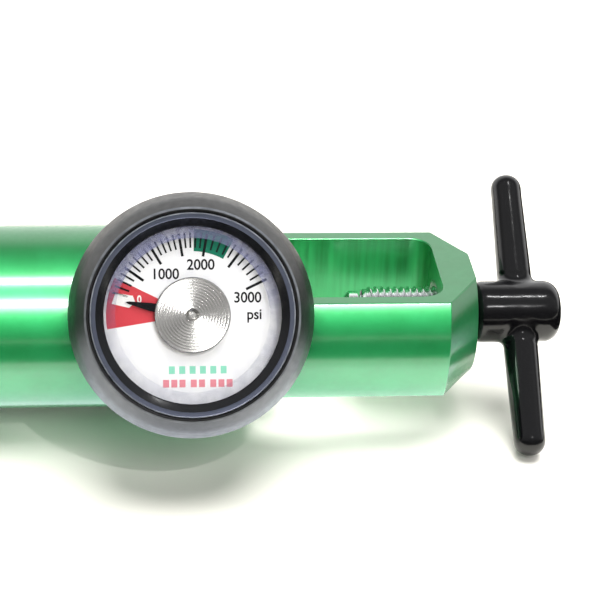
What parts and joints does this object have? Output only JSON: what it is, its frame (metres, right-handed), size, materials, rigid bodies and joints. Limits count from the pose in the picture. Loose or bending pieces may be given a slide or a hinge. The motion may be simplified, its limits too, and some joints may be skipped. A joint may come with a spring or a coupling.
{
  "type": "pin index oxygen regulator",
  "caption": "Pin-index yoke regulator for a small oxygen cylinder, with T-handle clamping screw, booted pressure gauge, flow selector knob and outlet barb.",
  "frame": {"origin": "on the barrel's axis, in the plane where the inlet seal meets the valve post", "axes": "+X along the barrel towards the T-handle, +Z along the valve post out of the yoke window, gauge facing 30 degrees above -Y"},
  "size_m": [0.1799, 0.0717, 0.0606],
  "materials": {
    "green_anodised": "bright green anodised, satin turned",
    "brass": "machined",
    "sintered_bronze": "porous",
    "seal_rubber": "matt",
    "bright_steel": "ground",
    "spring_steel": "drawn wire",
    "seat_plastic": "turned",
    "aluminium": "turned",
    "zinc_plate": "bright zinc plated",
    "black_plastic": "moulded",
    "vinyl_dip": "dipped vinyl",
    "boot_rubber": "moulded, semi-gloss",
    "bezel_plastic": "moulded, fine grain",
    "lens": "clear polycarbonate",
    "dial": "printed",
    "needle_paint": "painted",
    "case_steel": "painted"
  },
  "bodies": {
    "regulator": {"housing": "green_anodised", "inlet_nipple": "brass", "inlet_filter": "sintered_bronze", "seal_rubber": "seal_rubber", "seal_ring": "brass", "index_pin_1": "bright_steel", "index_pin_2": "bright_steel", "valve_seat": "seat_plastic", "stem_guide": "brass", "piston_spring": "spring_steel", "selector_plug": "aluminium", "plug_ring": "seal_rubber", "thrust_washer": "seat_plastic", "outlet_barb": "brass", "detent_ball": "bright_steel", "detent_spring": "spring_steel", "relief_cap": "brass", "relief_spring": "spring_steel", "gauge_stem": "brass", "gauge_case": "case_steel", "bourdon_tube": "brass", "dial_plate": "dial", "lens_spacer": "black_plastic", "gauge_lens": "lens", "bezel_ring": "bezel_plastic", "gauge_boot": "boot_rubber"},
    "piston": {"piston": "brass", "piston_ring": "seal_rubber"},
    "relief_poppet": {"relief_poppet": "brass"},
    "pointer": {"arbor": "bright_steel", "pointer_cap": "aluminium", "needle": "needle_paint"},
    "flow_knob": {"knob": "black_plastic", "orifice_disc": "brass"},
    "swivel_tip": {"screw_tip": "zinc_plate"},
    "clamp_screw": {"screw": "zinc_plate", "handle_rod": "bright_steel", "handle_cover": "vinyl_dip"}
  },
  "joints": [
    {"name": "screw_travel", "type": "slide", "parent": "regulator", "child": "swivel_tip", "axis": [1, 0, 0], "range_m": [-0.0008, 0.0204]},
    {"name": "screw_turn", "type": "hinge", "parent": "swivel_tip", "child": "clamp_screw", "pos_m": [0.03, 0, 0], "axis": [1, 0, 0], "range_deg": [-180, 4860]},
    {"name": "knob_turn", "type": "hinge", "parent": "regulator", "child": "flow_knob", "pos_m": [-0.083, 0, 0], "axis": [1, 0, 0], "range_deg": [0, 324]},
    {"name": "pointer_turn", "type": "hinge", "parent": "regulator", "child": "pointer", "pos_m": [-0.018, -0.02858, 0.0165], "axis": [0, 0.866, -0.5], "range_deg": [0, 143], "stiffness_Nm_per_rad": 0.001, "springref_deg": -11.46},
    {"name": "piston_slide", "type": "slide", "parent": "regulator", "child": "piston", "axis": [1, 0, 0], "range_m": [0, 0.0008], "stiffness_N_per_m": 2000, "springref_m": -0.002, "deforming": ["piston_spring"]},
    {"name": "relief_slide", "type": "slide", "parent": "regulator", "child": "relief_poppet", "axis": [0, 0.866, -0.5], "range_m": [0, 0.0006], "stiffness_N_per_m": 1000, "springref_m": -0.002, "deforming": ["relief_spring"]}
  ],
  "couplings": [
    {"joint": "screw_travel", "follows": "screw_turn", "m_per_rad": 0.00023873}
  ]
}
